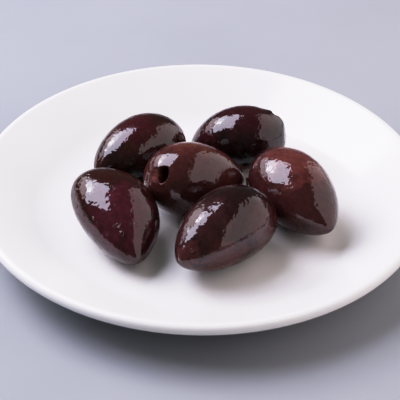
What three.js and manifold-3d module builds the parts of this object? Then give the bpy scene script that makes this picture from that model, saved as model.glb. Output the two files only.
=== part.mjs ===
// Six large dark olives on a small white coupe dish. Millimetres, +Z up.
// The origin is the centre of the dish's footprint, at the level it stands on.
import * as THREE from 'three';
import { mergeVertices } from 'three/addons/utils/BufferGeometryUtils.js';
import Module from 'manifold-3d';

const wasm = await Module();
wasm.setup();

const DEG = Math.PI / 180;

// ---------------------------------------------------------------- driving dimensions

// The dish: a flat floor that bends up into a straight sloping wall with a rolled lip.
const DISH = {
  diameter: 140,
  height: 15,
  wallThickness: 3.4,
  floorLevel: 5.2,
  wallSlope: 26 * DEG,
  bendRadius: 22,
  footDiameter: 80,
  footWidth: 3.6,
  footFillet: 0.5,
  segments: 80,
  bendSteps: 5,
};

// How far each olive stays above the dish.
const RESTING_GAP = 0.3;

// Rings and segments of one olive.
const OLIVE_RINGS = 19;
const OLIVE_SEGMENTS = 28;

// Skin relief of every olive, as a share of its radius.
const SWELLING = 0.01;
const FLUTING = 0.006;

// The dimple where the stalk sat.
const STALK_DIMPLE = { depth: 0.8, radius: 2.2 };

// One row for each olive. at: centre on the dish. heading: direction of the tip, from +X
// towards +Y. tilt: rise of the tip. roll: turn about its own length. bow: bend of the
// centre line. tipTaper and stalkTaper: exponents of the profile at the two ends, where 0.5
// is a round end and 1 a cone. flatness: depth of the section over its width.
const OLIVES = [
  {
    name: 'olive_front_left',
    at: [-25.0, -18.7],
    heading: -62.1 * DEG,
    tilt: -13 * DEG,
    roll: -94 * DEG,
    length: 36.9,
    width: 20.0,
    bow: 2.8,
    tipTaper: 0.66,
    stalkTaper: 0.51,
    flatness: 1.2,
    color: 0x34141a,
  },
  {
    name: 'olive_back_left',
    at: [-20.0, 15.0],
    heading: 220.6 * DEG,
    tilt: 0.5 * DEG,
    roll: 26 * DEG,
    length: 33.6,
    width: 21.8,
    bow: 0.9,
    tipTaper: 0.66,
    stalkTaper: 0.49,
    flatness: 0.98,
    color: 0x2a1116,
  },
  {
    name: 'olive_centre',
    at: [-1.2, -0.1],
    heading: 23 * DEG,
    tilt: -17.5 * DEG,
    roll: -5 * DEG,
    length: 34.5,
    width: 23.3,
    bow: 0.4,
    tipTaper: 0.67,
    stalkTaper: 0.47,
    flatness: 0.98,
    color: 0x4a1e1a,
    pitHole: { along: -0.912, around: 145 * DEG, mouth: 6.2, bore: 4.2, depth: 6.5 },
  },
  {
    name: 'olive_back_right',
    at: [11.7, 24.8],
    heading: 177.6 * DEG,
    tilt: -10.7 * DEG,
    roll: -19 * DEG,
    length: 30.7,
    width: 20.2,
    bow: 1.8,
    tipTaper: 0.6,
    stalkTaper: 0.48,
    flatness: 0.98,
    color: 0x261015,
    pitHole: { along: -0.8, around: 160 * DEG, mouth: 4.6, bore: 3.0, depth: 5.5 },
  },
  {
    name: 'olive_right',
    at: [29.0, -6.1],
    heading: -57.5 * DEG,
    tilt: -5.5 * DEG,
    roll: -7.6 * DEG,
    length: 37.8,
    width: 22.9,
    bow: 0.6,
    tipTaper: 0.7,
    stalkTaper: 0.56,
    flatness: 0.96,
    color: 0x461c1b,
  },
  {
    name: 'olive_front',
    at: [6.6, -26.5],
    heading: 226.6 * DEG,
    tilt: -0.8 * DEG,
    roll: 22.4 * DEG,
    length: 37.7,
    width: 24.0,
    bow: 1.6,
    tipTaper: 0.67,
    stalkTaper: 0.48,
    flatness: 0.95,
    color: 0x331418,
  },
];

// ---------------------------------------------------------------- the dish

// Key points of the dish's section, as radius and height, worked out from its dimensions.
function dishSection() {
  const lipRadius = DISH.wallThickness / 2;
  const slope = DISH.wallSlope;
  const lipCentre = new THREE.Vector2(DISH.diameter / 2 - lipRadius, DISH.height - lipRadius);
  const wallTop = new THREE.Vector2(
    lipCentre.x - lipRadius * Math.sin(slope),
    lipCentre.y + lipRadius * Math.cos(slope),
  );
  const bendTopLevel = DISH.floorLevel + DISH.bendRadius * (1 - Math.cos(slope));
  const bendTopRadius = wallTop.x - (wallTop.y - bendTopLevel) / Math.tan(slope);
  const floorRadius = bendTopRadius - DISH.bendRadius * Math.sin(slope);
  return { lipRadius, slope, lipCentre, bendTopLevel, bendTopRadius, floorRadius };
}

const SECTION = dishSection();

// Height of the dish's upper face at a distance from its axis.
function dishTop(radius) {
  if (radius <= SECTION.floorRadius) {
    return DISH.floorLevel;
  }
  if (radius <= SECTION.bendTopRadius) {
    const reach = radius - SECTION.floorRadius;
    return DISH.floorLevel + DISH.bendRadius - Math.sqrt(DISH.bendRadius ** 2 - reach ** 2);
  }
  return SECTION.bendTopLevel + (radius - SECTION.bendTopRadius) * Math.tan(SECTION.slope);
}

// Points on an arc, both ends included. Angles are measured from the outward direction.
function arc(centre, radius, start, end, steps) {
  const points = [];
  for (let i = 0; i <= steps; i += 1) {
    const angle = steps ? start + ((end - start) * i) / steps : start;
    const x = centre.x + radius * Math.cos(angle);
    const y = centre.y + radius * Math.sin(angle);
    points.push(new THREE.Vector2(x, y));
  }
  return points;
}

// The closed section from the axis under the dish, round the lip, and back along the top.
function dishProfile() {
  const { lipRadius, slope, lipCentre, floorRadius } = SECTION;
  const underside = DISH.floorLevel - DISH.wallThickness;
  const footOuter = DISH.footDiameter / 2;
  const footInner = footOuter - DISH.footWidth;
  const fillet = DISH.footFillet;
  const bendCentre = new THREE.Vector2(floorRadius, DISH.floorLevel + DISH.bendRadius);
  const down = -90 * DEG;
  const lipEdge = (angle) => arc(lipCentre, lipRadius, angle, angle, 0);
  return [
    new THREE.Vector2(0, underside),
    new THREE.Vector2(footInner, underside),
    new THREE.Vector2(footInner, fillet),
    new THREE.Vector2(footInner + fillet, 0),
    new THREE.Vector2(footOuter - fillet, 0),
    new THREE.Vector2(footOuter, fillet),
    new THREE.Vector2(footOuter, underside),
    ...arc(bendCentre, DISH.bendRadius + DISH.wallThickness, down, down + slope, DISH.bendSteps),
    ...lipEdge(down + slope),
    ...arc(lipCentre, lipRadius, -45 * DEG, 90 * DEG, 6),
    ...lipEdge(90 * DEG + slope),
    ...arc(bendCentre, DISH.bendRadius, down + slope, down, DISH.bendSteps),
    new THREE.Vector2(0, DISH.floorLevel),
  ];
}

function makeDish() {
  const geometry = new THREE.LatheGeometry(dishProfile(), DISH.segments);
  geometry.rotateX(90 * DEG);
  const material = new THREE.MeshStandardMaterial({
    color: 0xeeeef2,
    roughness: 0.12,
    metalness: 0,
  });
  const dish = new THREE.Mesh(geometry, material);
  dish.name = 'dish';
  return dish;
}

// ---------------------------------------------------------------- the olives

// Radius of an olive at u, which runs from -1 at the stalk end to 1 at the tip.
function oliveRadius(olive, u) {
  const { tipTaper, stalkTaper } = olive;
  const widest = (stalkTaper - tipTaper) / (tipTaper + stalkTaper);
  const towardsTip = ((1 - u) / (1 - widest)) ** tipTaper;
  const towardsStalk = ((1 + u) / (1 + widest)) ** stalkTaper;
  return (olive.width / 2) * towardsTip * towardsStalk;
}

// A point of the skin, with the olive's length along X and its middle at the origin.
function skinPoint(olive, u, around) {
  const phase = olive.length + olive.width;
  const swell = SWELLING * Math.sin(2 * around + phase) * Math.cos(2 * u + phase);
  const flute = FLUTING * Math.cos(3 * around - 2 * u - phase);
  const radius = oliveRadius(olive, u) * (1 + swell + flute);
  const stalkSide = u < 0 ? 1 : 0;
  const dimple = STALK_DIMPLE.depth * Math.exp(-((radius / STALK_DIMPLE.radius) ** 2));
  const centreLine = olive.bow * (1 / 3 - u ** 2);
  return new THREE.Vector3(
    (u * olive.length) / 2 + stalkSide * dimple,
    radius * Math.cos(around),
    radius * Math.sin(around) * olive.flatness + centreLine,
  );
}

// The closed skin: rings from end to end, with a point at each pole.
function oliveSkin(olive) {
  const positions = [];
  const indices = [];
  const addPoint = (point) => positions.push(point.x, point.y, point.z);
  addPoint(skinPoint(olive, -1, 0));
  for (let ring = 1; ring <= OLIVE_RINGS; ring += 1) {
    const u = -Math.cos((Math.PI * ring) / (OLIVE_RINGS + 1));
    for (let side = 0; side < OLIVE_SEGMENTS; side += 1) {
      addPoint(skinPoint(olive, u, (2 * Math.PI * side) / OLIVE_SEGMENTS));
    }
  }
  addPoint(skinPoint(olive, 1, 0));
  const stalkPole = 0;
  const tipPole = OLIVE_RINGS * OLIVE_SEGMENTS + 1;
  const at = (ring, side) => 1 + ring * OLIVE_SEGMENTS + (side % OLIVE_SEGMENTS);
  for (let side = 0; side < OLIVE_SEGMENTS; side += 1) {
    indices.push(stalkPole, at(0, side + 1), at(0, side));
    for (let ring = 0; ring < OLIVE_RINGS - 1; ring += 1) {
      indices.push(at(ring, side), at(ring, side + 1), at(ring + 1, side + 1));
      indices.push(at(ring, side), at(ring + 1, side + 1), at(ring + 1, side));
    }
    indices.push(at(OLIVE_RINGS - 1, side), at(OLIVE_RINGS - 1, side + 1), tipPole);
  }
  const geometry = new THREE.BufferGeometry();
  geometry.setAttribute('position', new THREE.Float32BufferAttribute(positions, 3));
  geometry.setIndex(indices);
  return geometry;
}

// A closed geometry as a solid.
function toSolid(geometry) {
  const bare = geometry.clone();
  bare.deleteAttribute('normal');
  bare.deleteAttribute('uv');
  const merged = mergeVertices(bare, 1e-4);
  const mesh = new wasm.Mesh({
    numProp: 3,
    vertProperties: new Float32Array(merged.attributes.position.array),
    triVerts: new Uint32Array(merged.index.array),
  });
  return new wasm.Manifold(mesh);
}

// A solid as a geometry.
function toGeometry(solid) {
  const mesh = solid.getMesh();
  const geometry = new THREE.BufferGeometry();
  geometry.setAttribute('position', new THREE.BufferAttribute(mesh.vertProperties, 3));
  geometry.setIndex(new THREE.BufferAttribute(mesh.triVerts, 1));
  return geometry;
}

// The space of a pit hole: a flared mouth, a straight bore and a rounded bottom, with its
// axis along +Y and the skin at the origin.
function pitHoleSpace(hole) {
  const mouth = hole.mouth / 2;
  const bore = hole.bore / 2;
  const clear = 2;
  const flare = 1.2;
  const bottom = new THREE.Vector2(0, -hole.depth + bore);
  const profile = [
    ...arc(bottom, bore, -90 * DEG, 0, 3),
    new THREE.Vector2(bore, -flare),
    new THREE.Vector2(mouth, 0),
    new THREE.Vector2(mouth + clear, clear),
    new THREE.Vector2(0, clear),
  ];
  return new THREE.LatheGeometry(profile, 16);
}

// Cuts the pit hole square to the skin.
function cutPitHole(olive, skin) {
  const { along, around } = olive.pitHole;
  const step = 0.01;
  const centre = skinPoint(olive, along, around);
  const forward = skinPoint(olive, along + step, around).sub(centre);
  const sideways = skinPoint(olive, along, around + step).sub(centre);
  const outward = sideways.cross(forward).normalize();
  const up = new THREE.Vector3(0, 1, 0);
  const space = pitHoleSpace(olive.pitHole);
  space.applyQuaternion(new THREE.Quaternion().setFromUnitVectors(up, outward));
  space.translate(centre.x, centre.y, centre.z);
  return toGeometry(toSolid(skin).subtract(toSolid(space)));
}

// Lifts or lowers an olive until it is the resting gap above the dish.
function settle(mesh) {
  mesh.updateMatrixWorld(true);
  const point = new THREE.Vector3();
  const positions = mesh.geometry.attributes.position;
  let drop = Infinity;
  for (let i = 0; i < positions.count; i += 1) {
    point.fromBufferAttribute(positions, i).applyMatrix4(mesh.matrixWorld);
    drop = Math.min(drop, point.z - dishTop(Math.hypot(point.x, point.y)));
  }
  mesh.position.z -= drop - RESTING_GAP;
}

function makeOlive(olive) {
  const skin = oliveSkin(olive);
  const geometry = olive.pitHole ? cutPitHole(olive, skin) : skin;
  geometry.computeVertexNormals();
  const material = new THREE.MeshStandardMaterial({
    color: olive.color,
    roughness: 0.18,
    metalness: 0,
  });
  const mesh = new THREE.Mesh(geometry, material);
  mesh.name = olive.name;
  mesh.position.set(olive.at[0], olive.at[1], 0);
  mesh.rotation.set(olive.roll, -olive.tilt, olive.heading, 'ZYX');
  settle(mesh);
  return mesh;
}

// ---------------------------------------------------------------- the whole

const model = new THREE.Group();
model.add(makeDish());
for (const olive of OLIVES) {
  model.add(makeOlive(olive));
}

export default model;
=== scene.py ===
"""Six dark olives on a small white dish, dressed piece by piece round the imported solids.

Lengths in the classes are millimetres and angles are degrees, apart from the studio's
table and lights, whose lengths are metres. What reaches Blender is metres and radians.
"""

import logging
import math
from collections.abc import Callable, Iterator, Sequence
from contextlib import contextmanager
from dataclasses import dataclass, field
from enum import Enum
from random import Random
from typing import Any, NamedTuple

import bmesh
import bpy
import numpy as np
from mathutils import Euler, Matrix, Vector


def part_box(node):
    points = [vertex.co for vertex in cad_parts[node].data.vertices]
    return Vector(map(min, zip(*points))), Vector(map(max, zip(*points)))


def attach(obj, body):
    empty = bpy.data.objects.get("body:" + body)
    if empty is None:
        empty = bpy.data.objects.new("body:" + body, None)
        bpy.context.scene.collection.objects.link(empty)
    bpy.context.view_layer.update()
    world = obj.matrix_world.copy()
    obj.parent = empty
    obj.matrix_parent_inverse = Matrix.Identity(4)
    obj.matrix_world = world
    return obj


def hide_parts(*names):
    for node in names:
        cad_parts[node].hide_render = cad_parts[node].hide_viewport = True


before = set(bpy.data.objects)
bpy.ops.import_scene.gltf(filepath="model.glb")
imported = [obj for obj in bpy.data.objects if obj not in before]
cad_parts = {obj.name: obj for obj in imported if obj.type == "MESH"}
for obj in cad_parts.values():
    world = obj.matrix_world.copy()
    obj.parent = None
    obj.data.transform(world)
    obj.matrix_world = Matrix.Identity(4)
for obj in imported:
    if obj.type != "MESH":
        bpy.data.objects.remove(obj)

MM = 0.001
BODY = "root"
CUT_SHARE = "cut_share"     # attribute of a point: how much of it is bare flesh
WARPED = "warped"           # the group of the dish's points that its unevenness moves
HAIR = 1e-6                 # slack round a height when points are picked by it, in metres

Colour = tuple[float, float, float]
Point = tuple[float, float, float]
FlatPoint = tuple[float, float]
Piece = bpy.types.Object
Socket = bpy.types.NodeSocket

log = logging.getLogger("dish_of_olives")


# ---------------------------------------------------------------- the workbench


def deselect_all() -> None:
    """Leaves no object selected."""
    for item in list(bpy.context.selected_objects):
        item.select_set(False)


def pick(piece: Piece) -> None:
    """Makes one piece the selected and active object.

    Args:
        piece: The piece.
    """
    deselect_all()
    piece.select_set(True)
    bpy.context.view_layer.objects.active = piece


@contextmanager
def editing(piece: Piece) -> Iterator[None]:
    """Opens a piece in edit mode with nothing selected, and closes it again.

    Args:
        piece: The mesh object to shape.

    Returns:
        A context in which mesh operators act on the piece.
    """
    pick(piece)
    bpy.ops.object.mode_set(mode="EDIT")
    bpy.ops.mesh.select_mode(type="VERT")
    bpy.ops.mesh.select_all(action="DESELECT")
    yield
    bpy.ops.object.mode_set(mode="OBJECT")


def select_all() -> None:
    """Selects the whole of the open piece."""
    bpy.ops.mesh.select_all(action="SELECT")


def select_points(piece: Piece, wanted: Callable[[Vector], bool]) -> None:
    """Selects the points of an open piece that pass a test of their place.

    Args:
        piece: The mesh object that is open in edit mode.
        wanted: Says of a point, in the piece's own frame, whether it is selected.
    """
    bpy.ops.mesh.select_all(action="DESELECT")
    points = bmesh.from_edit_mesh(piece.data)
    for point in points.verts:
        point.select_set(wanted(point.co))
    points.select_flush_mode()
    bmesh.update_edit_mesh(piece.data)


def settle_transform(piece: Piece) -> None:
    """Puts a piece's place, turn and scale into its mesh."""
    pick(piece)
    bpy.ops.object.transform_apply(location=True, rotation=True, scale=True)


def apply_modifier(piece: Piece, kind: str, **settings: Any) -> None:
    """Adds a modifier with these settings and applies it.

    Args:
        piece: The mesh object that gets it.
        kind: Blender's name of the modifier type.
        settings: The modifier's properties by name.
    """
    pick(piece)
    modifier = piece.modifiers.new(kind.title(), kind)
    for name, value in settings.items():
        setattr(modifier, name, value)
    bpy.ops.object.modifier_apply(modifier=modifier.name)


def ruffle(piece: Piece, name: str, size: float, height: float, depth: int, group: str = "") -> None:
    """Raises and lowers a surface by a cloudy pattern.

    Args:
        piece: The mesh object.
        name: What the relief is called.
        size: Width of one cloud, in millimetres.
        height: Full height of the relief, in millimetres.
        depth: How many finer clouds ride on each.
        group: The group of points that move, or nothing for all of them.
    """
    clouds = bpy.data.textures.new(name, "CLOUDS")
    clouds.noise_scale = size * MM
    clouds.noise_depth = depth
    apply_modifier(
        piece, "DISPLACE", texture=clouds, texture_coords="LOCAL", strength=height * MM,
        vertex_group=group,
    )


def shade_smooth(piece: Piece) -> None:
    """Shades a piece smooth all over."""
    pick(piece)
    bpy.ops.object.shade_smooth()


def report(piece: Piece) -> None:
    """Logs a finished piece."""
    log.info("%s: %d faces", piece.name, len(piece.data.polygons))


# ---------------------------------------------------------------- finishes


class NodeGraph:
    """The node tree of one material, built a node at a time.

    Two shares of a coloured patch's reach say how far its edge wanders and how far it
    fades to either side.
    """

    edge_wander: float = 0.4
    edge_fade: float = 0.45

    def __init__(self, name: str) -> None:
        """Starts an empty material.

        Args:
            name: The material's name.
        """
        self.material = bpy.data.materials.new(name)
        self.material.use_nodes = True
        self.tree = self.material.node_tree
        self.tree.nodes.clear()

    def add(self, kind: str, inputs: dict[str, Any] | None = None, **settings: Any) -> bpy.types.Node:
        """Adds a node.

        Args:
            kind: The node's type without its ShaderNode prefix.
            inputs: Values or sockets for its inputs, by socket identifier.
            settings: The node's own properties by name.

        Returns:
            The new node.
        """
        node = self.tree.nodes.new("ShaderNode" + kind)
        for name, value in settings.items():
            setattr(node, name, value)
        sockets = {socket.identifier: socket for socket in node.inputs}
        for name, value in (inputs or {}).items():
            if isinstance(value, Socket):
                self.tree.links.new(value, sockets[name])
            else:
                sockets[name].default_value = value
        return node

    def place(self) -> Socket:
        """Coordinates of the piece itself, in metres."""
        return self.add("TexCoord").outputs["Object"]

    def own_frame(self, centre: Vector, turn: Euler) -> Socket:
        """Coordinates that follow a piece's own length and middle.

        Args:
            centre: The middle of the piece, in metres.
            turn: How the piece is turned.

        Returns:
            The socket with the coordinates, in metres.
        """
        inputs = {"Vector": self.place(), "Location": centre, "Rotation": turn}
        return self.add("Mapping", inputs, vector_type="TEXTURE").outputs["Vector"]

    def stretch(self, place: Socket, factors: Point) -> Socket:
        """Coordinates scaled by a factor along each axis."""
        return self.add("Mapping", {"Vector": place, "Scale": factors}).outputs["Vector"]

    def noise(self, place: Socket, size: float, detail: float, rough: float = 0.5) -> Socket:
        """A cloudy value from 0 to 1.

        Args:
            place: The coordinates that it follows.
            size: Width of one cloud, in millimetres.
            detail: How many finer layers it has.
            rough: How strong the finer layers are.

        Returns:
            The socket with the value.
        """
        inputs = {"Vector": place, "Scale": 1 / (size * MM), "Detail": detail, "Roughness": rough}
        return self.add("TexNoise", inputs).outputs["Fac"]

    def spots(self, place: Socket, spacing: float) -> Socket:
        """Distance to the nearest of many scattered points, as a share of their spacing."""
        inputs = {"Vector": place, "Scale": 1 / (spacing * MM)}
        return self.add("TexVoronoi", inputs).outputs["Distance"]

    def near(self, place: Socket, point: Vector, reach: float) -> Socket:
        """How near a point the surface is, with a wandering edge.

        Args:
            place: The coordinates.
            point: The point, in metres.
            reach: How far from it the value has sunk halfway, in millimetres.

        Returns:
            The socket with the value, from 1 at the point to 0 well beyond its reach.
        """
        inputs = {"Vector": place, "Vector_001": point}
        distance = self.add("VectorMath", inputs, operation="DISTANCE").outputs["Value"]
        sway = self.edge_wander * reach * MM
        cloud = self.noise(place, size=0.5 * reach, detail=3.0)
        wander = self.ramp(cloud, start=0.3, end=0.7, low=-sway, high=sway)
        distance = self.math("ADD", distance, wander)
        full = (1 - self.edge_fade) * reach * MM
        gone = (1 + self.edge_fade) * reach * MM
        return self.ramp(distance, full, gone, low=1.0, high=0.0)

    def ramp(
        self, value: Socket, start: float, end: float, low: float = 0.0, high: float = 1.0
    ) -> Socket:
        """A value moved smoothly from one range to another.

        Args:
            value: The value to move.
            start: Where the range begins.
            end: Where the range ends.
            low: What start becomes.
            high: What end becomes.

        Returns:
            The socket with the new value.
        """
        inputs = {"Value": value, "From Min": start, "From Max": end, "To Min": low, "To Max": high}
        return self.add("MapRange", inputs, interpolation_type="SMOOTHSTEP").outputs["Result"]

    def math(self, operation: str, first: Any, second: Any) -> Socket:
        """Two values joined by an arithmetic operation."""
        node = self.add("Math", {"Value": first, "Value_001": second}, operation=operation)
        return node.outputs["Value"]

    def blend(self, share: Any, first: Any, second: Any, mode: str = "MIX") -> Socket:
        """Two colours mixed.

        Args:
            share: How much of the second is in the mix, from 0 to 1.
            first: A colour or a socket.
            second: A colour or a socket.
            mode: Blender's name of the way they mix.

        Returns:
            The socket with the mixed colour.
        """
        inputs = {"Factor_Float": share, "A_Color": first, "B_Color": second}
        node = self.add("Mix", inputs, data_type="RGBA", blend_type=mode)
        return node.outputs[2]      # the first two results are a number and a vector

    def bump(self, height: Socket, depth: float, below: Any = None) -> Socket:
        """Fine relief.

        Args:
            height: The relief's height, from 0 to 1.
            depth: What 1 means, in millimetres.
            below: The normal of a coarser relief under it.

        Returns:
            The socket with the normal.
        """
        inputs = {"Strength": 1.0, "Distance": depth * MM, "Height": height}
        if below is not None:
            inputs["Normal"] = below
        return self.add("Bump", inputs).outputs["Normal"]

    def finish(self, shader: dict[str, Any]) -> bpy.types.Material:
        """Ends the tree in a surface.

        Args:
            shader: Inputs of the surface shader by socket identifier.

        Returns:
            The finished material.
        """
        surface = self.add("BsdfPrincipled", shader)
        self.add("OutputMaterial", {"Surface": surface.outputs["BSDF"]})
        return self.material


def opaque(colour: Colour) -> tuple[float, float, float, float]:
    """A colour with full alpha."""
    return (*colour, 1.0)


@dataclass(frozen=True)
class PorcelainGlaze:
    """Glossy white glaze with the slight unevenness of a fired dish and painted shade in the crevices
    between the olives.
    """

    name: str = "white_glaze"
    colour: Colour = (0.875, 0.862, 0.835)
    pooled: Colour = (0.855, 0.844, 0.822)
    pool_size: float = 30.0
    roughness: tuple[float, float] = (0.10, 0.20)
    smear_size: float = 6.0
    ripple_size: float = 9.0
    ripple_depth: float = 0.02
    # painted shade: a dark colour laid on the glaze in the crevices between the olives, where shade
    # falls
    crevice_shade: Colour = (0.070, 0.032, 0.022)
    crevice_shades: Sequence[tuple[Point, float]] = ()

    def build(self) -> bpy.types.Material:
        """Makes the material.

        Returns:
            The material.
        """
        graph = NodeGraph(self.name)
        place = graph.place()
        pools = graph.ramp(graph.noise(place, self.pool_size, detail=3.0), start=0.35, end=0.65)
        colour = graph.blend(pools, opaque(self.colour), opaque(self.pooled))
        # painted shade in the crevices between the olives
        for point, reach in self.crevice_shades:
            in_crevice_shade = graph.near(place, Vector(point) * MM, reach)
            colour = graph.blend(in_crevice_shade, colour, opaque(self.crevice_shade))
        smear = graph.noise(place, self.smear_size, detail=5.0, rough=0.6)
        ripple = graph.noise(place, self.ripple_size, detail=1.0)
        return graph.finish({
            "Base Color": colour,
            "Roughness": graph.ramp(smear, 0.3, 0.7, *self.roughness),
            "Specular IOR Level": 0.4,
            "Normal": graph.bump(ripple, self.ripple_depth),
        })


@dataclass(frozen=True)
class BareClay:
    """Unglazed fired clay, dry and finely grained."""

    name: str = "bare_clay"
    colour: Colour = (0.62, 0.59, 0.54)
    worn: Colour = (0.42, 0.39, 0.36)
    rub_size: float = 4.0
    grain_size: float = 0.25
    grain_depth: float = 0.05

    def build(self) -> bpy.types.Material:
        """Makes the material.

        Returns:
            The material.
        """
        graph = NodeGraph(self.name)
        place = graph.place()
        cloud = graph.noise(place, self.rub_size, detail=6.0, rough=0.7)
        rub = graph.ramp(cloud, start=0.5, end=0.7, high=0.7)
        grain = graph.noise(place, self.grain_size, detail=3.0)
        return graph.finish({
            "Base Color": graph.blend(rub, opaque(self.colour), opaque(self.worn)),
            "Roughness": 0.75,
            "Specular IOR Level": 0.3,
            "Normal": graph.bump(grain, self.grain_depth),
        })


@dataclass(frozen=True)
class BlushAndPaintedLight:
    """A patch of skin in another colour, as place along, angle round and reach: the skin's own colour
    on some olives, painted light that lightens the top on others.
    """

    colour: Colour
    along: float
    around: float
    reach: float


@dataclass(frozen=True)
class OliveSkin:
    """Wet skin of a cured olive, with its flesh where the skin is cut."""

    name: str
    deep: Colour
    flush: Colour
    flesh: Colour = (0.15, 0.048, 0.036)
    flesh_shade: Colour = (0.055, 0.015, 0.011)
    patch_size: float = 15.0
    patch_stretch: Point = (0.8, 1.0, 1.0)
    mottle_size: float = 1.3
    mottle: tuple[float, float] = (0.80, 1.16)
    freckle_spacing: float = 1.7
    freckle_share: float = 0.30
    smear_size: float = 3.5
    roughness: tuple[float, float] = (0.16, 0.30)
    pulp_size: float = 0.9
    pulp_roughness: float = 0.38
    grain_size: float = 0.45
    grain_depth: float = 0.006
    pore_spacing: float = 1.9
    pore_depth: float = 0.05
    wetness: float = 0.58
    pulp_wetness: float = 0.1

    def build(
        self, centre: Vector, turn: Euler, blushes_and_painted_light: Sequence[tuple[BlushAndPaintedLight, Vector]], pitted: bool
    ) -> bpy.types.Material:
        """Makes the material for one olive.

        Args:
            centre: The olive's middle, in metres.
            turn: How the olive is turned.
            blushes_and_painted_light: The olive's coloured patches and their places on it, in metres;
                some are painted light that lightens its top.
            pitted: Whether the olive shows bare flesh.

        Returns:
            The material, whose pattern follows the olive's length.
        """
        graph = NodeGraph(self.name)
        place = graph.own_frame(centre, turn)
        lengthwise = graph.stretch(place, self.patch_stretch)
        cloud = graph.noise(lengthwise, self.patch_size, detail=2.0)
        patches = graph.ramp(cloud, start=0.34, end=0.66)
        colour = graph.blend(patches, opaque(self.deep), opaque(self.flush))
        # some of these patches are painted light: a lighter top where the light falls
        for blush_and_light, point in blushes_and_painted_light:
            blushed_and_lit = graph.near(place, point, blush_and_light.reach)
            colour = graph.blend(blushed_and_lit, colour, opaque(blush_and_light.colour))
        fine = graph.noise(lengthwise, self.mottle_size, detail=4.0, rough=0.6)
        colour = graph.blend(1.0, colour, graph.ramp(fine, 0.3, 0.7, *self.mottle), "MULTIPLY")
        spots = graph.spots(place, self.freckle_spacing)
        freckle = graph.ramp(spots, start=0.05, end=0.13, low=self.freckle_share, high=0.0)
        colour = graph.blend(freckle, colour, opaque(self.flush))
        smear = graph.noise(place, self.smear_size, detail=4.0, rough=0.6)
        roughness = graph.ramp(smear, 0.35, 0.7, *self.roughness)
        coat = self.wetness
        if pitted:
            cut = graph.add("Attribute", attribute_name=CUT_SHARE).outputs["Fac"]
            fibres = graph.noise(place, self.pulp_size, detail=4.0)
            pulp = graph.blend(fibres, opaque(self.flesh_shade), opaque(self.flesh))
            colour = graph.blend(cut, colour, pulp)
            dryness = graph.math("MULTIPLY", cut, self.pulp_roughness)
            roughness = graph.math("MAXIMUM", roughness, dryness)
            coat = graph.ramp(cut, 0.0, 1.0, low=self.wetness, high=self.pulp_wetness)
        pores = graph.ramp(graph.spots(place, self.pore_spacing), start=0.0, end=0.1)
        grain = graph.noise(place, self.grain_size, detail=3.0)
        relief = graph.bump(grain, self.grain_depth)
        relief = graph.bump(pores, self.pore_depth, below=relief)
        return graph.finish({
            "Base Color": colour,
            "Roughness": roughness,
            "Specular IOR Level": 0.06,
            "Normal": relief,
            "Coat Weight": coat,
            "Coat Roughness": 0.025,
            "Coat IOR": 1.8,
            "Coat Normal": relief,
        })


@dataclass(frozen=True)
class Brine:
    """Clear brine in small drops."""

    name: str = "brine"
    tint: Colour = (1.0, 0.97, 0.95)
    ripple_size: float = 0.8
    ripple_depth: float = 0.01

    def build(self) -> bpy.types.Material:
        """Makes the material.

        Returns:
            The material.
        """
        graph = NodeGraph(self.name)
        place = graph.place()
        ripple = graph.noise(place, self.ripple_size, detail=2.0)
        return graph.finish({
            "Base Color": opaque(self.tint),
            "Roughness": 0.02,
            "IOR": 1.34,
            "Transmission Weight": 1.0,
            "Normal": graph.bump(ripple, self.ripple_depth),
        })


@dataclass(frozen=True)
class TableTop:
    """A smooth pale table top in a cool grey."""

    name: str = "table_top"
    colour: Colour = (0.335, 0.352, 0.372)
    fleck: Colour = (0.32, 0.337, 0.357)
    cloud_size: float = 60.0

    def build(self) -> bpy.types.Material:
        """Makes the material.

        Returns:
            The material.
        """
        graph = NodeGraph(self.name)
        place = graph.place()
        cloud = graph.ramp(graph.noise(place, self.cloud_size, detail=3.0), start=0.35, end=0.65)
        return graph.finish({
            "Base Color": graph.blend(cloud, opaque(self.colour), opaque(self.fleck)),
            "Roughness": 0.6,
            "Specular IOR Level": 0.25,
        })


class Slot(Enum):
    """The record's material slots."""

    GLAZE = "white_glaze"
    WINE = "olive_skin_wine"
    DARK = "olive_skin_dark"
    BROWN = "olive_skin_brown"


# ---------------------------------------------------------------- the dish


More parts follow.
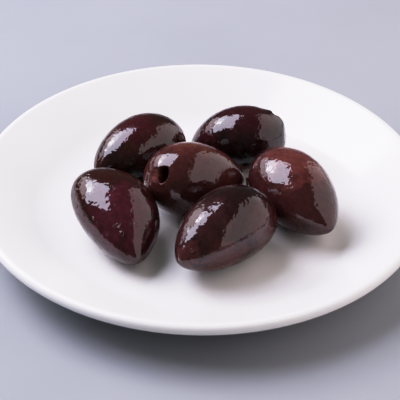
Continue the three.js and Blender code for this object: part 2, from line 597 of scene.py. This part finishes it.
@dataclass
class Dish:
    """A shallow coupe dish: flat floor, sloping wall, rolled lip and a low foot ring.

    Each patch of painted shade in the crevices between the olives is a point of the floor and its
    reach.
    """

    node: str = "dish"
    wall_thickness: float = 3.4
    floor_level: float = 5.2
    wall_slope: float = 26.0
    bend_radius: float = 22.0
    foot_diameter: float = 80.0
    foot_width: float = 3.6
    foot_fillet: float = 0.5
    segments: int = 224
    fillet_steps: int = 4
    bend_steps: int = 12
    lip_steps: int = 18
    panel_step: float = 3.0
    smallest_step: float = 0.001
    weld_gap: float = 0.01
    warp_size: float = 26.0
    warp_height: float = 0.07
    standing_level: float = 1.0
    # painted shade: dark patches on the floor in the crevices between the olives
    painted_crevice_shades: Sequence[tuple[Point, float]] = (
        ((14.7, 14.5, 5.2), 2.3), ((13.6, 25.8, 5.2), 3.2), ((-14.0, 4.0, 5.2), 2.8),
    )
    slope: float = field(init=False)
    lip_radius: float = field(init=False)
    lip_centre: FlatPoint = field(init=False)
    floor_radius: float = field(init=False)

    def __post_init__(self) -> None:
        """Takes the outer size from the frame and works out the section's key points."""
        low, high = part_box(self.node)
        radius = (high[0] - low[0]) / 2 / MM
        height = high[2] / MM
        self.lip_radius = self.wall_thickness / 2
        self.slope = math.radians(self.wall_slope)
        self.lip_centre = (radius - self.lip_radius, height - self.lip_radius)
        bend_top_level = self.floor_level + self.bend_radius * (1 - math.cos(self.slope))
        wall_top_radius = self.lip_centre[0] - self.lip_radius * math.sin(self.slope)
        wall_top_level = self.lip_centre[1] + self.lip_radius * math.cos(self.slope)
        rise = wall_top_level - bend_top_level
        bend_top_radius = wall_top_radius - rise / math.tan(self.slope)
        self.floor_radius = bend_top_radius - self.bend_radius * math.sin(self.slope)

    def section(self) -> list[FlatPoint]:
        """The closed section from the axis under the dish to the axis above it.

        Returns:
            Points as radius and height, in millimetres.
        """
        underside = self.floor_level - self.wall_thickness
        outer = self.foot_diameter / 2
        inner = outer - self.foot_width
        fillet, steps = self.foot_fillet, self.fillet_steps
        bend = (self.floor_radius, self.floor_level + self.bend_radius)
        up, down = math.pi / 2, -math.pi / 2
        points = [(0.0, underside)]
        points += self.line((0.0, underside), (inner - fillet, underside))
        points += self.arc((inner - fillet, underside - fillet), fillet, up, 0.0, steps)
        points += self.arc((inner + fillet, fillet), fillet, math.pi, 1.5 * math.pi, steps)
        points += self.arc((outer - fillet, fillet), fillet, down, 0.0, steps)
        points += self.arc((outer + fillet, underside - fillet), fillet, math.pi, up, steps)
        outside = self.bend_radius + self.wall_thickness
        low, high = down + self.slope, up + self.slope
        points += self.arc(bend, outside, down, low, self.bend_steps)
        points += self.line(points[-1], self.on_arc(self.lip_centre, self.lip_radius, low))
        points += self.arc(self.lip_centre, self.lip_radius, low, high, self.lip_steps)
        points += self.line(points[-1], self.on_arc(bend, self.bend_radius, low))
        points += self.arc(bend, self.bend_radius, low, down, self.bend_steps)
        points += self.line(points[-1], (0.0, self.floor_level))
        kept = points[:1]
        for point in points[1:]:
            if math.dist(point, kept[-1]) > self.smallest_step:
                kept.append(point)
        return kept

    def on_arc(self, centre: FlatPoint, radius: float, angle: float) -> FlatPoint:
        """The point at an angle on an arc of the section."""
        return (centre[0] + radius * math.cos(angle), centre[1] + radius * math.sin(angle))

    def arc(
        self, centre: FlatPoint, radius: float, start: float, end: float, steps: int
    ) -> list[FlatPoint]:
        """Points on an arc of the section, both ends included."""
        share = (end - start) / steps
        return [self.on_arc(centre, radius, start + share * step) for step in range(steps + 1)]

    def line(self, start: FlatPoint, end: FlatPoint) -> list[FlatPoint]:
        """Points on a straight stretch of the section, without its start.

        Args:
            start: Where the stretch begins, as radius and height.
            end: Where it ends.

        Returns:
            The points, about a panel's step apart.
        """
        steps = max(1, round(math.dist(start, end) / self.panel_step))
        across = (end[0] - start[0]) / steps
        up = (end[1] - start[1]) / steps
        return [(start[0] + across * step, start[1] + up * step) for step in range(1, steps + 1)]

    def build(self) -> Piece:
        """Throws the dish: draws its section point by point and spins it round the axis.

        Returns:
            The finished piece.
        """
        section = self.section()
        first = Vector((section[0][0] * MM, 0.0, section[0][1] * MM))
        deselect_all()
        bpy.ops.mesh.primitive_plane_add(size=MM, location=first)
        piece = bpy.context.active_object
        piece.name = "porcelain_dish"
        settle_transform(piece)
        with editing(piece):
            select_all()
            bpy.ops.mesh.merge(type="CENTER")
            select_all()
            for before, after in zip(section, section[1:]):
                step = ((after[0] - before[0]) * MM, 0.0, (after[1] - before[1]) * MM)
                bpy.ops.mesh.extrude_region_move(TRANSFORM_OT_translate={"value": step})
            select_all()
            whole = 2 * math.pi
            bpy.ops.mesh.spin(steps=self.segments, angle=whole, center=(0, 0, 0), axis=(0, 0, 1))
            select_all()
            bpy.ops.mesh.remove_doubles(threshold=self.weld_gap * MM)
            bpy.ops.mesh.normals_make_consistent(inside=False)
            select_points(piece, lambda point: point.z > self.standing_level * MM)
            bpy.ops.object.vertex_group_add()
            bpy.ops.object.vertex_group_assign()
        piece.vertex_groups[0].name = WARPED
        ruffle(piece, "dish_warp", self.warp_size, self.warp_height, depth=0, group=WARPED)
        shade_smooth(piece)
        return piece

    def dress(self, piece: Piece) -> None:
        """Glazes the dish and leaves the foot's standing edge bare.

        Args:
            piece: The dish.
        """
        piece.data.materials.append(PorcelainGlaze(crevice_shades=self.painted_crevice_shades).build())
        piece.data.materials.append(BareClay().build())
        bare_below = self.foot_fillet / 2 * MM
        for face in piece.data.polygons:
            face.material_index = 1 if face.center.z < bare_below else 0
        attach(piece, BODY)
        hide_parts(self.node)


# ---------------------------------------------------------------- the olives


class PunchRing(NamedTuple):
    """One ring of the tool that cuts a pit hole.

    height is over the skin, in millimetres, size scales the outline, and share is how far
    the outline has gone from the mouth's to the bore's.
    """

    height: float
    size: float
    share: float


@dataclass(frozen=True)
class PitHole:
    """Where the pit was pushed out: a torn, funnelled mouth and a rounder bore.

    mouth and bore hold the hole's reach from its axis at even steps round it, starting
    towards the olive's tip. The punch stands square to the skin. Bare flesh begins
    flesh_rise above the skin's old level, is whole flesh_fade further down, and ends
    flesh_spill past the mouth. round_end is the height of the bore's rounded end.
    """

    along: float
    around: float
    mouth: tuple[float, ...]
    bore: tuple[float, ...]
    depth: float
    throat: float = 1.4
    round_end: float = 1.2
    flesh_rise: float = 0.05
    flesh_fade: float = 0.4
    flesh_spill: float = 1.0

    def reach(self, outline: tuple[float, ...], angle: float) -> float:
        """The distance from the axis to an outline, smooth between its given values.

        Args:
            outline: Distances at even steps round the axis.
            angle: Direction from the axis, in radians.

        Returns:
            The distance, in millimetres.
        """
        place = angle / (2 * math.pi) * len(outline) % len(outline)
        step = int(place)
        share = (1 - math.cos((place - step) * math.pi)) / 2
        after = outline[(step + 1) % len(outline)]
        return outline[step] * (1 - share) + after * share

    def rings(self) -> list[PunchRing]:
        """The punch's rings from the top down: a flare, the mouth, the bore and a round end.

        Returns:
            The rings.
        """
        throat = -self.throat
        floor = self.round_end - self.depth
        rings = [(2.0, 1.5, 0.0), (0.5, 1.14, 0.0), (0.0, 1.0, 0.0), (-0.4, 0.93, 0.2)]
        rings += [(throat * 0.6, 0.97, 0.7), (throat, 1.0, 1.0), (floor, 0.92, 1.0)]
        rings += [(floor - 0.7, 0.74, 1.0), (floor - 1.1, 0.42, 1.0), (-self.depth, 0.1, 1.0)]
        return [PunchRing(*ring) for ring in rings]

    def punch(self, sides: int = 48) -> Piece:
        """Makes the tool that cuts the hole, with the skin at its origin and +Z outwards.

        Args:
            sides: Points round each ring.

        Returns:
            The tool, a closed mesh.
        """
        rings = self.rings()
        deselect_all()
        top = rings[0]
        bpy.ops.mesh.primitive_circle_add(
            vertices=sides, radius=top.size * MM, fill_type="NGON", location=(0, 0, top.height * MM)
        )
        tool = bpy.context.active_object
        tool.name = "pit_punch"
        settle_transform(tool)
        with editing(tool):
            select_all()
            for above, ring in zip(rings, rings[1:]):
                sink = (0.0, 0.0, (ring.height - above.height) * MM)
                narrow = ring.size / above.size
                bpy.ops.mesh.extrude_region_move(TRANSFORM_OT_translate={"value": sink})
                bpy.ops.transform.resize(value=(narrow, narrow, 1.0))
            for side in range(sides):
                angle = 2 * math.pi * side / sides
                self.push_column(tool, angle, math.pi / sides, rings)
            select_all()
            bpy.ops.mesh.normals_make_consistent(inside=False)
        return tool

    def push_column(self, tool: Piece, angle: float, near: float, rings: list[PunchRing]) -> None:
        """Moves one column of the round punch out to the hole's real outline.

        Args:
            tool: The punch, open in edit mode.
            angle: Where the column stands round the axis, in radians.
            near: How far a point may be from that angle, in radians.
            rings: The punch's rings.
        """
        out = Vector((math.cos(angle), math.sin(angle)))
        for share in sorted({ring.share for ring in rings}):
            levels = [ring.height * MM for ring in rings if ring.share == share]
            low, high = min(levels) - HAIR, max(levels) + HAIR
            select_points(tool, lambda point: low < point.z < high and point.xy.angle(out) < near)
            reach = self.reach(self.mouth, angle) * (1 - share) + self.reach(self.bore, angle) * share
            bpy.ops.transform.resize(value=(reach, reach, 1.0), center_override=(0, 0, 0))


@dataclass(frozen=True)
class Swelling:
    """A gentle rise of the skin, as place along, angle round, height and reach.

    A height below 0 makes a dent.
    """

    along: float
    around: float
    height: float
    reach: float


@dataclass
class Olive:
    """One olive, lying as it was put down.

    The olive's length runs along X in its own frame, tip towards +X. bow bends its centre
    line, the tapers shape its two ends (0.5 is round, 1 a cone) and flatness is the depth of
    its section over its width. grain is the width of a face, bedded how far it sinks below
    its node, and lumps and relief are each a width and a height.
    """

    node: str
    slot: Slot
    skin: OliveSkin
    heading: float
    tilt: float
    roll: float
    length: float
    width: float
    bow: float
    tip_taper: float
    stalk_taper: float
    flatness: float
    pit_hole: PitHole | None = None
    blushes_and_painted_light: Sequence[BlushAndPaintedLight] = ()
    swellings: Sequence[Swelling] = ()
    rings: int = 48
    segments: int = 72
    dimple_depth: float = 0.8
    dimple_radius: float = 2.2
    grain: float = 0.21
    bedded: float = 0.27
    lumps: tuple[float, float] = (5.5, 0.14)
    relief: tuple[float, float] = (1.1, 0.09)
    turn: Euler = field(init=False)

    def __post_init__(self) -> None:
        """Works out how the olive is turned."""
        angles = (self.roll, -self.tilt, self.heading)
        self.turn = Euler([math.radians(angle) for angle in angles], "XYZ")

    def radius_at(self, share: float) -> float:
        """Radius of the fruit at a place along it.

        Args:
            share: Place along the half length, from -1 at the stalk to 1 at the tip.

        Returns:
            The radius, in millimetres.
        """
        widest = (self.stalk_taper - self.tip_taper) / (self.tip_taper + self.stalk_taper)
        towards_tip = ((1 - share) / (1 - widest)) ** self.tip_taper
        towards_stalk = ((1 + share) / (1 + widest)) ** self.stalk_taper
        return self.width / 2 * towards_tip * towards_stalk

    def dimple(self, share: float) -> float:
        """How far the stalk's dimple sinks the skin.

        Args:
            share: Place along the half length, from -1 to 1.

        Returns:
            The depth, in millimetres.
        """
        if share > 0:
            return 0.0
        return self.dimple_depth * math.exp(-((self.radius_at(share) / self.dimple_radius) ** 2))

    def centre_line(self, share: float) -> float:
        """Height of the bowed centre line there, which is 0 on average along the olive."""
        return self.bow * (1 / 3 - share**2)

    def skin_point(self, share: float, around: float) -> Vector:
        """A point of the skin in the olive's own frame, in millimetres.

        Args:
            share: Place along the half length, from -1 to 1.
            around: Angle round the length, in radians.

        Returns:
            The point.
        """
        radius = self.radius_at(share)
        return Vector((
            share * self.length / 2 + self.dimple(share),
            radius * math.cos(around),
            radius * math.sin(around) * self.flatness + self.centre_line(share),
        ))

    def skin_frame(self, share: float, around: float) -> Matrix:
        """A frame on the skin with +Z outwards and +X towards the tip.

        Args:
            share: Place along the half length, from -1 to 1.
            around: Angle round the length, in radians.

        Returns:
            The frame, in metres.
        """
        step = 0.01
        here = self.skin_point(share, around)
        ahead = (self.skin_point(share + step, around) - here).normalized()
        beside = self.skin_point(share, around + step) - here
        outwards = beside.cross(ahead).normalized()
        if outwards.dot(Vector((0.0, math.cos(around), math.sin(around)))) < 0:
            outwards = -outwards
        sideways = outwards.cross(ahead)
        axes = Matrix((ahead, sideways, outwards)).transposed().to_4x4()
        return Matrix.Translation(here * MM) @ axes

    def body(self) -> Piece:
        """Shapes the whole fruit ring by ring from a round ball.

        Returns:
            The fruit in its own frame.
        """
        deselect_all()
        bpy.ops.mesh.primitive_uv_sphere_add(
            segments=self.segments, ring_count=self.rings, radius=1.0, rotation=(0, math.pi / 2, 0)
        )
        piece = bpy.context.active_object
        piece.name = self.node + "_fruit"
        settle_transform(piece)
        narrowest_gap = 1 - math.cos(math.pi / self.rings)
        near = 0.2 * narrowest_gap
        aside = 3.0     # a shaped ring waits here, where no later selection reaches it
        half = self.length / 2 * MM
        with editing(piece):
            for ring in range(self.rings + 1):
                angle = math.pi * ring / self.rings
                share = math.cos(angle)
                select_points(piece, lambda point: abs(point.x - share) < near)
                ball = math.sin(angle)
                at_end = ring in (0, self.rings)
                girth = 1.0 if at_end else self.radius_at(share) / ball * MM
                bpy.ops.transform.resize(
                    value=(1.0, girth, girth * self.flatness), center_override=(share, 0, 0)
                )
                dimple = self.dimple(-1.0 if ring == self.rings else share)
                shift = (half * share + dimple * MM - share, 0, self.centre_line(share) * MM)
                bpy.ops.transform.translate(value=(shift[0] + aside, shift[1], shift[2]))
            select_all()
            bpy.ops.transform.translate(value=(-aside, 0, 0))
        self.swell(piece)
        apply_modifier(piece, "SUBSURF", levels=2, render_levels=2)
        return piece

    def swell(self, piece: Piece) -> None:
        """Raises the skin at each of the olive's swellings.

        Args:
            piece: The fruit in its own frame, still coarse.
        """
        slack = 1e-7    # lets the nearest point itself pass the test
        for swelling in self.swellings:
            skin = self.skin_frame(swelling.along, math.radians(swelling.around))
            middle = skin.translation
            lift = skin.to_3x3() @ Vector((0.0, 0.0, swelling.height * MM))
            nearest = min((point.co - middle).length for point in piece.data.vertices) + slack
            with editing(piece):
                select_points(piece, lambda point: (point - middle).length < nearest)
                bpy.ops.transform.translate(
                    value=lift, use_proportional_edit=True, proportional_edit_falloff="SMOOTH",
                    proportional_size=swelling.reach * MM,
                )

    def cut(self, piece: Piece) -> None:
        """Punches the pit hole, if the olive has one.

        Args:
            piece: The fruit in its own frame.
        """
        if self.pit_hole is None:
            return
        tool = self.pit_hole.punch()
        around = math.radians(self.pit_hole.around)
        tool.matrix_world = self.skin_frame(self.pit_hole.along, around)
        bpy.context.view_layer.update()
        apply_modifier(piece, "BOOLEAN", object=tool, operation="DIFFERENCE", solver="EXACT")
        bpy.data.objects.remove(tool)

    def even_out(self, piece: Piece) -> None:
        """Gives the skin an even, fine grain of faces and rounds the cut's edge."""
        apply_modifier(piece, "REMESH", mode="VOXEL", voxel_size=self.grain * MM)
        apply_modifier(piece, "SMOOTH", factor=0.5, iterations=8)

    def mark_cut(self, piece: Piece) -> None:
        """Marks on each point how much of it is bare flesh inside the pit hole.

        Args:
            piece: The fruit in its own frame, with its hole cut.
        """
        count = len(piece.data.vertices)
        share = np.zeros(count, dtype=np.float32)
        if self.pit_hole is not None:
            hole = self.pit_hole
            points = np.empty(count * 3, dtype=np.float32)
            piece.data.vertices.foreach_get("co", points)
            frame_in = np.array(self.skin_frame(hole.along, math.radians(hole.around)).inverted())
            local = (points.reshape(-1, 3) @ frame_in[:3, :3].T + frame_in[:3, 3]) / MM
            reach = np.hypot(local[:, 0], local[:, 1])
            sunk = -(local[:, 2] + reach**2 / self.width)
            share = np.clip((sunk + hole.flesh_rise) / hole.flesh_fade, 0, 1)
            share *= reach < max(hole.mouth) + hole.flesh_spill
        marks = piece.data.attributes.new(CUT_SHARE, "FLOAT", "POINT")
        marks.data.foreach_set("value", share.astype(np.float32))

    def lay_down(self, piece: Piece) -> Vector:
        """Turns the olive as it lies and sets it in its node's place on the dish.

        Args:
            piece: The fruit in its own frame.

        Returns:
            The olive's middle, in metres.
        """
        piece.rotation_euler = self.turn
        settle_transform(piece)
        corners = np.array([corner[:] for corner in piece.bound_box])
        low, high = corners.min(axis=0), corners.max(axis=0)
        node_low, node_high = (np.array(corner[:]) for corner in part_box(self.node))
        move = (node_low + node_high - low - high) / 2
        move[2] = node_low[2] - low[2] - self.bedded * MM
        piece.location = move
        settle_transform(piece)
        return Vector(move)

    def build(self) -> tuple[Piece, Vector]:
        """Makes the olive.

        Returns:
            The finished piece and the olive's middle, in metres.
        """
        piece = self.body()
        self.cut(piece)
        self.even_out(piece)
        self.mark_cut(piece)
        middle = self.lay_down(piece)
        ruffle(piece, "skin_lumps", *self.lumps, depth=1)
        ruffle(piece, "skin_relief", *self.relief, depth=1)
        shade_smooth(piece)
        return piece, middle

    def dress(self, piece: Piece, middle: Vector) -> None:
        """Gives the olive its skin and its place in the frame.

        Args:
            piece: The olive.
            middle: The olive's middle, in metres.
        """
        piece.data.materials.clear()
        blushes_and_painted_light = [
            (blush_and_light, self.skin_point(blush_and_light.along, math.radians(blush_and_light.around)) * MM)
            for blush_and_light in self.blushes_and_painted_light
        ]
        pitted = self.pit_hole is not None
        piece.data.materials.append(self.skin.build(middle, self.turn, blushes_and_painted_light, pitted))
        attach(piece, BODY)
        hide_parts(self.node)


@dataclass
class BrineDrops:
    """Small drops of brine that cling to the olives."""

    places: dict[str, Sequence[Point]]
    flatness: float = 0.7
    stretch: tuple[float, float] = (0.9, 1.25)
    seed: int = 5

    def build(self, olives: dict[str, tuple[Olive, Vector]]) -> Piece:
        """Sets every drop on its olive and joins them in one piece.

        Args:
            olives: Each olive and its middle, by node name.

        Returns:
            The joined drops.
        """
        random = Random(self.seed)
        drops = []
        for node, rows in self.places.items():
            olive, middle = olives[node]
            lie = Matrix.Translation(middle) @ olive.turn.to_matrix().to_4x4()
            for along, around, radius in rows:
                place = lie @ olive.skin_frame(along, math.radians(around))
                drops.append(self.drop(place, radius, random))
        deselect_all()
        for drop in drops:
            drop.select_set(True)
        bpy.context.view_layer.objects.active = drops[0]
        bpy.ops.object.join()
        piece = bpy.context.active_object
        piece.name = "brine_drops"
        shade_smooth(piece)
        return piece

    def drop(self, place: Matrix, radius: float, random: Random) -> Piece:
        """One low dome, pulled a little out of round.

        Args:
            place: The frame on the skin that it sits on.
            radius: Its radius, in millimetres.
            random: Where its unevenness comes from.

        Returns:
            The drop.
        """
        deselect_all()
        bpy.ops.mesh.primitive_ico_sphere_add(subdivisions=3, radius=radius * MM)
        piece = bpy.context.active_object
        with editing(piece):
            select_all()
            length = random.uniform(*self.stretch)
            bpy.ops.transform.resize(value=(length, 1.0, self.flatness))
        piece.matrix_world = place @ Matrix.Rotation(random.uniform(0, math.pi), 4, "Z")
        settle_transform(piece)
        return piece

    def dress(self, piece: Piece) -> None:
        """Makes the drops clear and lets them ride with the dish."""
        piece.data.materials.append(Brine().build())
        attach(piece, BODY)


# ---------------------------------------------------------------- the studio


@dataclass(frozen=True)
class Panel:
    """A flat soft light that faces its target, both placed in metres."""

    name: str
    place: Point
    width: float
    height: float
    radiance: float
    colour: Colour
    target: Point = (0.0, 0.0, 0.0)

    def build(self) -> None:
        """Hangs the light."""
        away = Vector(self.place) - Vector(self.target)
        data = bpy.data.lights.new(self.name, "AREA")
        data.shape = "RECTANGLE"
        data.size, data.size_y = self.width, self.height
        data.color = self.colour
        data.energy = self.radiance * math.pi * self.width * self.height
        light = bpy.data.objects.new(self.name, data)
        light.location = self.place
        light.rotation_euler = away.to_track_quat("Z", "Y").to_euler()
        light.visible_camera = False
        bpy.context.scene.collection.objects.link(light)


@dataclass
class Studio:
    """A pale table, five soft lights and the camera."""

    floor_size: float = 6.0
    ambient: Colour = (0.090, 0.101, 0.091)
    film_curve: Sequence[tuple[float, float]] = (
        (0.0, 0.0), (0.028, 0.018), (0.078, 0.065), (0.186, 0.19), (0.30, 0.36), (0.465, 0.58),
        (0.69, 0.79), (0.91, 0.87), (1.12, 0.93), (1.5, 0.975), (2.3, 1.0),
    )
    lights: Sequence[Panel] = (
        Panel("key_soft", (-0.515, 0.252, 0.694), 0.82, 0.745, 5.6, (0.92, 0.89, 1.09)),
        Panel("key_warm", (-0.568, 0.399, 0.540), 0.36, 0.30, 2.4, (1.0, 0.96, 0.98)),
        Panel("key_core", (-0.610, 0.352, 0.520), 0.15, 0.15, 8.0, (1.0, 0.97, 1.0)),
        Panel("key_skirt", (-0.672, 0.519, 0.298), 0.62, 0.25, 2.2, (1.0, 0.88, 0.95)),
        Panel(
            "side_panel", (0.23, 0.0, 0.255), 0.82, 0.50, 1.12, (1.0, 0.87, 0.90),
            target=(0.0, 0.0, 0.255),
        ),
    )
    view_elevation: float = 36.0486
    view_roll: float = 0.6795
    view_target: Point = (-0.2235, -6.8755, 13.3)
    view_distance: float = 560.0
    lens: float = 164.45
    sensor: float = 36.0

    def floor(self) -> None:
        """Lays the table top, which is not part of the object."""
        deselect_all()
        bpy.ops.mesh.primitive_plane_add(size=self.floor_size)
        top = bpy.context.active_object
        top.name = "table_top"
        top.data.materials.append(TableTop().build())

    def camera(self) -> None:
        """Sets up the camera."""
        elevation, roll = math.radians(self.view_elevation), math.radians(self.view_roll)
        back = Vector((0.0, -math.cos(elevation), math.sin(elevation)))
        right = Vector((1.0, 0.0, 0.0))
        up = back.cross(right)
        turned_right = math.cos(roll) * right + math.sin(roll) * up
        turned_up = math.cos(roll) * up - math.sin(roll) * right
        data = bpy.data.cameras.new("camera")
        data.lens = self.lens
        data.sensor_width = self.sensor
        camera = bpy.data.objects.new("camera", data)
        place = Vector(self.view_target) * MM + back * self.view_distance * MM
        axes = Matrix((turned_right, turned_up, back)).transposed().to_4x4()
        camera.matrix_world = Matrix.Translation(place) @ axes
        bpy.context.scene.collection.objects.link(camera)
        bpy.context.scene.camera = camera

    def air(self) -> None:
        """Sets the dim light from all round."""
        world = bpy.data.worlds.new("studio_air")
        world.use_nodes = True
        background = world.node_tree.nodes["Background"]
        background.inputs["Color"].default_value = opaque(self.ambient)
        bpy.context.scene.world = world

    def film(self) -> None:
        """Gives the picture the tone curve of a film: firm shadows and soft whites."""
        view = bpy.context.scene.view_settings
        view.view_transform = "Standard"
        view.use_curve_mapping = True
        white = self.film_curve[-1][0]
        view.curve_mapping.white_level = (white, white, white)
        all_channels = view.curve_mapping.curves[3]
        for light, tone in self.film_curve[1:-1]:
            all_channels.points.new(light / white, tone)
        view.curve_mapping.update()

    def build(self) -> None:
        """Sets up the table, the lights and the camera."""
        self.floor()
        self.camera()
        self.air()
        self.film()
        for panel in self.lights:
            panel.build()


# ---------------------------------------------------------------- the whole


def make_olives() -> list[Olive]:
    """The six olives, from the front left round to the front.

    Returns:
        The olives, not built yet.
    """
    centre_hole = PitHole(
        along=-0.912, around=145, depth=6.5, throat=1.9,
        mouth=(2.8, 3.7, 2.7, 1.2, 0.8, 1.6, 2.5, 2.5),
        bore=(2.7, 3.4, 2.4, 0.6, 0.2, 1.1, 2.4, 2.3),
    )
    back_hole = PitHole(
        along=-0.8, around=160, depth=5.5,
        mouth=(1.7, 1.5, 3.5, 1.6, 2.2, 2.3, 2.4, 2.2),
        bore=(1.5, 1.4, 2.2, 1.4, 1.6, 1.5, 1.4, 1.6),
    )
    wine = OliveSkin("skin_wine", (0.028, 0.0080, 0.0060), (0.036, 0.0100, 0.0075))
    plum = OliveSkin("skin_plum", (0.013, 0.0042, 0.0045), (0.026, 0.0072, 0.0078))
    back = OliveSkin("skin_back", (0.018, 0.0060, 0.0050), (0.050, 0.0150, 0.0110))
    dark = OliveSkin("skin_dark", (0.008, 0.0034, 0.0026), (0.015, 0.0050, 0.0044))
    rust = OliveSkin("skin_rust", (0.056, 0.0170, 0.0160), (0.082, 0.0245, 0.0215))
    brown = OliveSkin("skin_brown", (0.036, 0.0110, 0.0115), (0.062, 0.0180, 0.0170))
    return [
        Olive(
            "olive_front_left", Slot.WINE, wine, heading=-62.1, tilt=-13, roll=-94,
            length=37.1, width=20.2, bow=2.8, tip_taper=0.66, stalk_taper=0.51, flatness=1.2,
            blushes_and_painted_light=(BlushAndPaintedLight((0.066, 0.0135, 0.0205), 0.35, -160, 9.5),),
            swellings=(
                Swelling(-0.12, -105, 0.34, 7.0), Swelling(-0.25, -133, 0.36, 7.5),
                Swelling(0.10, -147, 0.24, 6.5),
            ),
        ),
        Olive(
            "olive_back_left", Slot.DARK, back, heading=220.6, tilt=0.5, roll=26,
            length=34.0, width=22.15, bow=0.9, tip_taper=0.66, stalk_taper=0.49, flatness=0.98,
            # painted light: a lighter patch on the olive's top, where the light falls
            blushes_and_painted_light=(BlushAndPaintedLight((0.047, 0.0085, 0.0115), 0.06, 65, 7.0),),
            swellings=(Swelling(-0.265, 15, 0.50, 6.8),),
        ),
        Olive(
            "olive_centre", Slot.BROWN, rust, heading=23, tilt=-17.5, roll=-5,
            length=34.5, width=23.3, bow=0.4, tip_taper=0.67, stalk_taper=0.47, flatness=0.98,
            pit_hole=centre_hole,
            # painted light: a lighter patch on the olive's top, where the light falls
            blushes_and_painted_light=(BlushAndPaintedLight((0.105, 0.0350, 0.0250), -0.18, 64, 7.5),),
            swellings=(
                Swelling(-0.90, 112, 0.20, 5.6), Swelling(-0.985, 165, 0.30, 1.8),
                Swelling(-0.957, 142, -0.60, 2.6),
            ),
        ),
        Olive(
            "olive_back_right", Slot.DARK, dark, heading=177.6, tilt=-10.7, roll=-19,
            length=31.1, width=20.5, bow=1.8, tip_taper=0.60, stalk_taper=0.48, flatness=0.98,
            pit_hole=back_hole,
            # painted light: both patches lighten the olive's top, where the light falls
            blushes_and_painted_light=(
                BlushAndPaintedLight((0.036, 0.0072, 0.0098), -0.3, 100, 10.0),
                BlushAndPaintedLight((0.040, 0.0090, 0.0110), 0.66, 72, 5.0),
            ),
            swellings=(
                Swelling(-0.97, 140, 0.45, 8.0), Swelling(-0.74, 146, 0.55, 3.6),
                Swelling(-0.90, 142, 0.35, 3.0), Swelling(-0.68, 63, 0.45, 6.6),
                Swelling(-0.24, 0, 0.35, 9.0),
            ),
        ),
        Olive(
            "olive_right", Slot.BROWN, brown, heading=-57.5, tilt=-5.5, roll=-7.6,
            length=38.1, width=23.2, bow=0.6, tip_taper=0.70, stalk_taper=0.56, flatness=0.96,
            # painted light: a lighter patch on the olive's top, where the light falls
            blushes_and_painted_light=(BlushAndPaintedLight((0.118, 0.0370, 0.0310), -0.19, 93, 9.5),),
            swellings=(Swelling(0.347, 75, 0.45, 6.8), Swelling(-0.60, -160, 0.30, 6.0)),
        ),
        Olive(
            "olive_front", Slot.WINE, plum, heading=226.6, tilt=-0.8, roll=22.4,
            length=37.9, width=24.2, bow=1.6, tip_taper=0.67, stalk_taper=0.48, flatness=0.95,
            blushes_and_painted_light=(
                # painted light: this first patch lightens the olive's top, where the light falls; the
                # three after it are the skin's own colour
                BlushAndPaintedLight((0.046, 0.0155, 0.0155), 0.48, 70, 8.0),
                BlushAndPaintedLight((0.060, 0.0165, 0.0155), 0.45, -30, 6.5),
                BlushAndPaintedLight((0.055, 0.0155, 0.0145), -0.35, -14, 7.0),
                BlushAndPaintedLight((0.070, 0.0230, 0.0220), 0.93, 45, 3.8),
            ),
            swellings=(
                Swelling(0.42, 59, 0.48, 5.7), Swelling(0.448, 66, 0.20, 4.6),
                Swelling(-0.386, 33, 0.50, 5.1),
            ),
        ),
    ]


def make_drops() -> BrineDrops:
    """The drops, as place along, angle round and radius.

    Returns:
        The drops, not built yet.
    """
    return BrineDrops({
        "olive_front_left": (
            (0.46, -147, 0.80), (0.60, -146, 0.84), (0.45, -139, 0.46), (0.11, -117, 0.60),
            (-0.11, -114, 0.50), (-0.32, -102, 0.60), (0.19, -135, 0.46), (0.47, -120, 0.52),
            (0.34, -179, 0.56), (-0.68, -151, 0.54), (-0.56, -121, 0.46), (0.53, -171, 0.50),
            (0.57, 180, 0.44), (0.20, -118, 0.42),
        ),
        "olive_front": ((0.84, 35, 0.62),),
        "olive_back_right": ((0.40, 8, 0.50),),
    })


def main() -> None:
    """Builds the studio, the dish, the olives and the drops, in that order."""
    logging.basicConfig(level=logging.INFO, format="%(name)s: %(message)s")
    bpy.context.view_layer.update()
    Studio().build()
    dish = Dish()
    dish_piece = dish.build()
    dish.dress(dish_piece)
    report(dish_piece)
    laid = {}
    for olive in make_olives():
        piece, middle = olive.build()
        olive.dress(piece, middle)
        laid[olive.node] = (olive, middle)
        report(piece)
    drops = make_drops()
    drops_piece = drops.build(laid)
    drops.dress(drops_piece)
    report(drops_piece)
    deselect_all()


if __name__ == "__main__":
    main()
